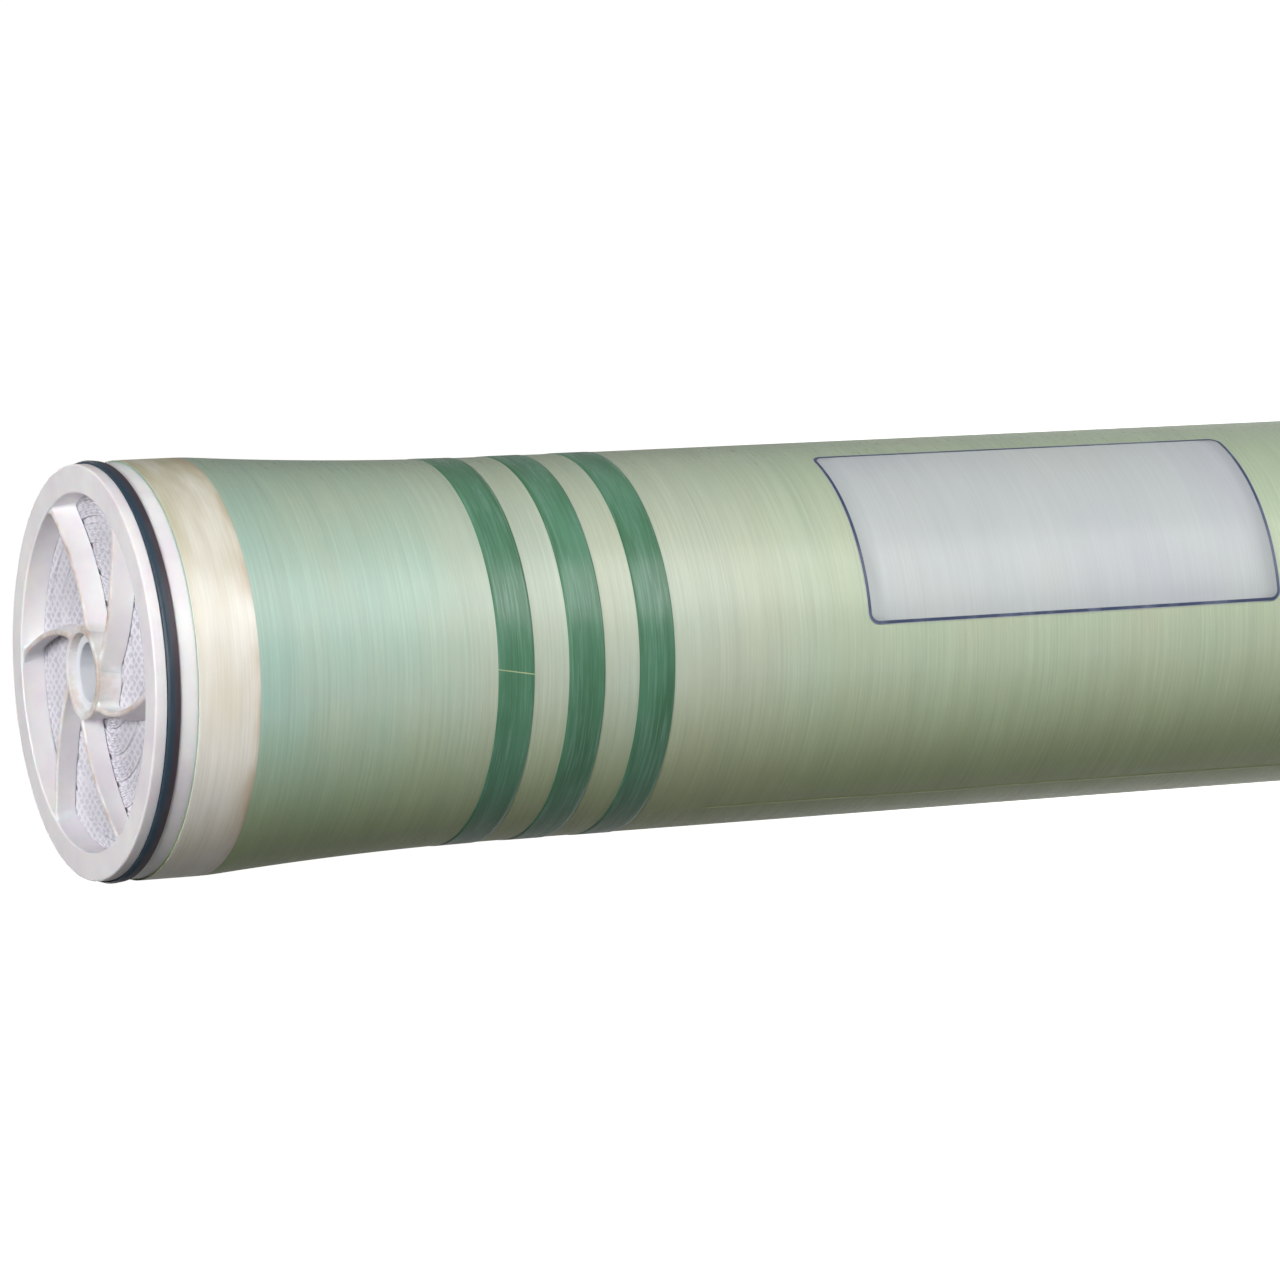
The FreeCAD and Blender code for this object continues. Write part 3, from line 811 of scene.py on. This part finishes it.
def make_scroll(material):
    """Body of the scroll, with each leaf's edge standing round the channels at both ends."""
    floor_z = SCROLL_HIGH[2] - CHANNEL_DEPTH
    outer_r = SCROLL_HIGH[0]
    core = lathe("wound_scroll", [
        Vector((TUBE_R, SCROLL_LOW[2] + CHANNEL_DEPTH)),
        Vector((outer_r, SCROLL_LOW[2] + CHANNEL_DEPTH)),
        Vector((outer_r, floor_z)),
        Vector((TUBE_R, floor_z)),
    ], material, segments=128)
    bm = bmesh.new()
    for leaf in range(LEAF_COUNT):
        add_leaf(bm, 360.0 * leaf / LEAF_COUNT, floor_z, TUBE_R + 1 * MM, outer_r - 0.5 * MM)
    feed = bpy.data.meshes.new("leaf_edges")
    bmesh.ops.recalc_face_normals(bm, faces=bm.faces)
    bm.to_mesh(feed)
    bm.free()
    joined = bmesh.new()
    joined.from_mesh(core.data)
    joined.from_mesh(feed)
    feed.transform(Matrix.Translation((0, 0, LENGTH)) @ Matrix.Rotation(math.pi, 4, "X"))
    joined.from_mesh(feed)
    for face in joined.faces:
        face.smooth = True
    joined.to_mesh(core.data)
    joined.free()
    core.data.set_sharp_from_angle(angle=math.radians(45))
    return core


# ---------------------------------------------------------------- stage
def make_floor_plane(material):
    bm = bmesh.new()
    size = 6.0
    count = 12
    verts = [[bm.verts.new((-size + 2 * size * i / count, -size + 2 * size * j / count, 0.0))
              for j in range(count + 1)] for i in range(count + 1)]
    for i in range(count):
        for j in range(count):
            bm.faces.new((verts[i][j], verts[i + 1][j], verts[i + 1][j + 1], verts[i][j + 1]))
    floor = finish_mesh("studio_floor", bm, material, smooth=False)
    floor.location.z = -0.2 * MM


def area_light(name, place, target, size, power, colour=(1.0, 1.0, 1.0), spread=180.0):
    data = bpy.data.lights.new(name, "AREA")
    data.shape = "RECTANGLE"
    data.size, data.size_y = size
    data.energy = power
    data.color = colour
    data.spread = math.radians(spread)
    light = bpy.data.objects.new(name, data)
    light.location = place
    light.rotation_euler = (Vector(target) - Vector(place)).to_track_quat("-Z", "Y").to_euler()
    light.visible_camera = False
    bpy.context.scene.collection.objects.link(light)
    return light


def make_lights():
    area_light("key_softbox", (0.34, -0.58, 0.42), (0.0, 0.0, 0.62), (0.40, 0.80), 3.5)
    area_light("front_light", (0.25, -0.80, 1.95), (0.0, 0.0, 1.0), (0.6, 0.6), 1.05, spread=40.0)
    area_light("cap_light", (0.35, -0.45, 2.1), (0.0, 0.0, 1.0), (0.6, 0.6), 0.45, spread=40.0)
    area_light("back_panel", (0.0, 1.6, 0.85), (0.0, 0.0, 0.5), (1.6, 0.3), 6.0, spread=120.0)


def make_air():
    """Even white surroundings, which light the element only faintly."""
    world = bpy.data.worlds.new("studio_air")
    bpy.context.scene.world = world
    world.use_nodes = True
    tree = world.node_tree
    background = tree.nodes["Background"]
    background.inputs["Color"].default_value = (1.0, 1.0, 0.98, 1.0)
    seen = tree.nodes.new("ShaderNodeLightPath")
    strength = tree.nodes.new("ShaderNodeMapRange")
    strength.inputs["To Min"].default_value = AIR_LIGHT
    strength.inputs["To Max"].default_value = 1.02
    tree.links.new(seen.outputs["Is Camera Ray"], strength.inputs["Value"])
    tree.links.new(strength.outputs[0], background.inputs["Strength"])


def make_camera():
    data = bpy.data.cameras.new("photo_view")
    data.lens = 161.94
    data.sensor_width = 36.0
    camera = bpy.data.objects.new("photo_view", data)
    right = Vector((-0.04940, -0.42710, -0.90286))
    up = Vector((0.99851, 0.0, -0.05463))
    back = right.cross(up)
    turn = Matrix((right, up, back)).transposed().to_4x4()
    camera.matrix_world = Matrix.Translation((0.0667, -2.5977, 1.9460)) @ turn
    bpy.context.scene.collection.objects.link(camera)
    bpy.context.scene.camera = camera
    bpy.context.scene.view_settings.view_transform = "Standard"


# ---------------------------------------------------------------- the element
def dress():
    fibreglass = make_fibreglass()
    joint_tape = make_joint_tape()
    band_tape = make_band_tape()
    cap_plastic = make_cap_plastic()

    stand_for(make_shell(fibreglass), "fibreglass_shell")
    feed_tape = make_wrap("feed_skirt_tape", SHELL_HIGH[2] - 0.1 * MM, LENGTH - SKIRT_END, joint_tape, 0.3 * MM,
                          skin=0.05 * MM)
    stand_for(feed_tape, "feed_joint_tape")
    stand_for(mirrored_end("rear_skirt_tape", feed_tape), "rear_joint_tape")
    for i in range(1, 4):
        node = "marker_band_%d" % i
        low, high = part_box(node)
        stand_for(make_wrap("green_band_%d" % i, high[2], low[2], band_tape, 0.25 * MM), node)

    stand_for(make_label(make_label_paper()), "product_label")
    border = make_label_border_strip(make_label_border())
    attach(border, "root")

    low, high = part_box("marker_band_1")
    resin_bead = make_resin_bead()
    tape_end = make_resin_line("band_tape_end", (TAPE_END_ANGLE, high[2]), (TAPE_END_ANGLE - 2.0, low[2]),
                               0.6 * MM, 0.10 * MM, resin_bead)
    seam = make_resin_line("resin_seam", (SEAM_ANGLE, SEAM_TOP), (SEAM_ANGLE, SHELL_LOW[2] + 0.08),
                           1.6 * MM, 0.10 * MM, resin_bead, steps=120, wave=0.5)
    for piece in (tape_end, seam):
        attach(piece, "root")

    cap = make_cap(cap_plastic)
    stand_for(cap, "feed_end_cap")
    stand_for(mirrored_end("rear_cap", cap), "rear_end_cap")
    stand_for(make_seal(make_seal_rubber()), "brine_seal")
    stand_for(make_tube(make_tube_plastic()), "core_tube")
    stand_for(make_scroll(make_leaf_sheets()), "membrane_scroll")

    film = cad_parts["scroll_tape"]
    for slot in film.material_slots:
        slot.material = make_scroll_film()


dress()
make_floor_plane(make_floor())
make_lights()
make_air()
make_camera()
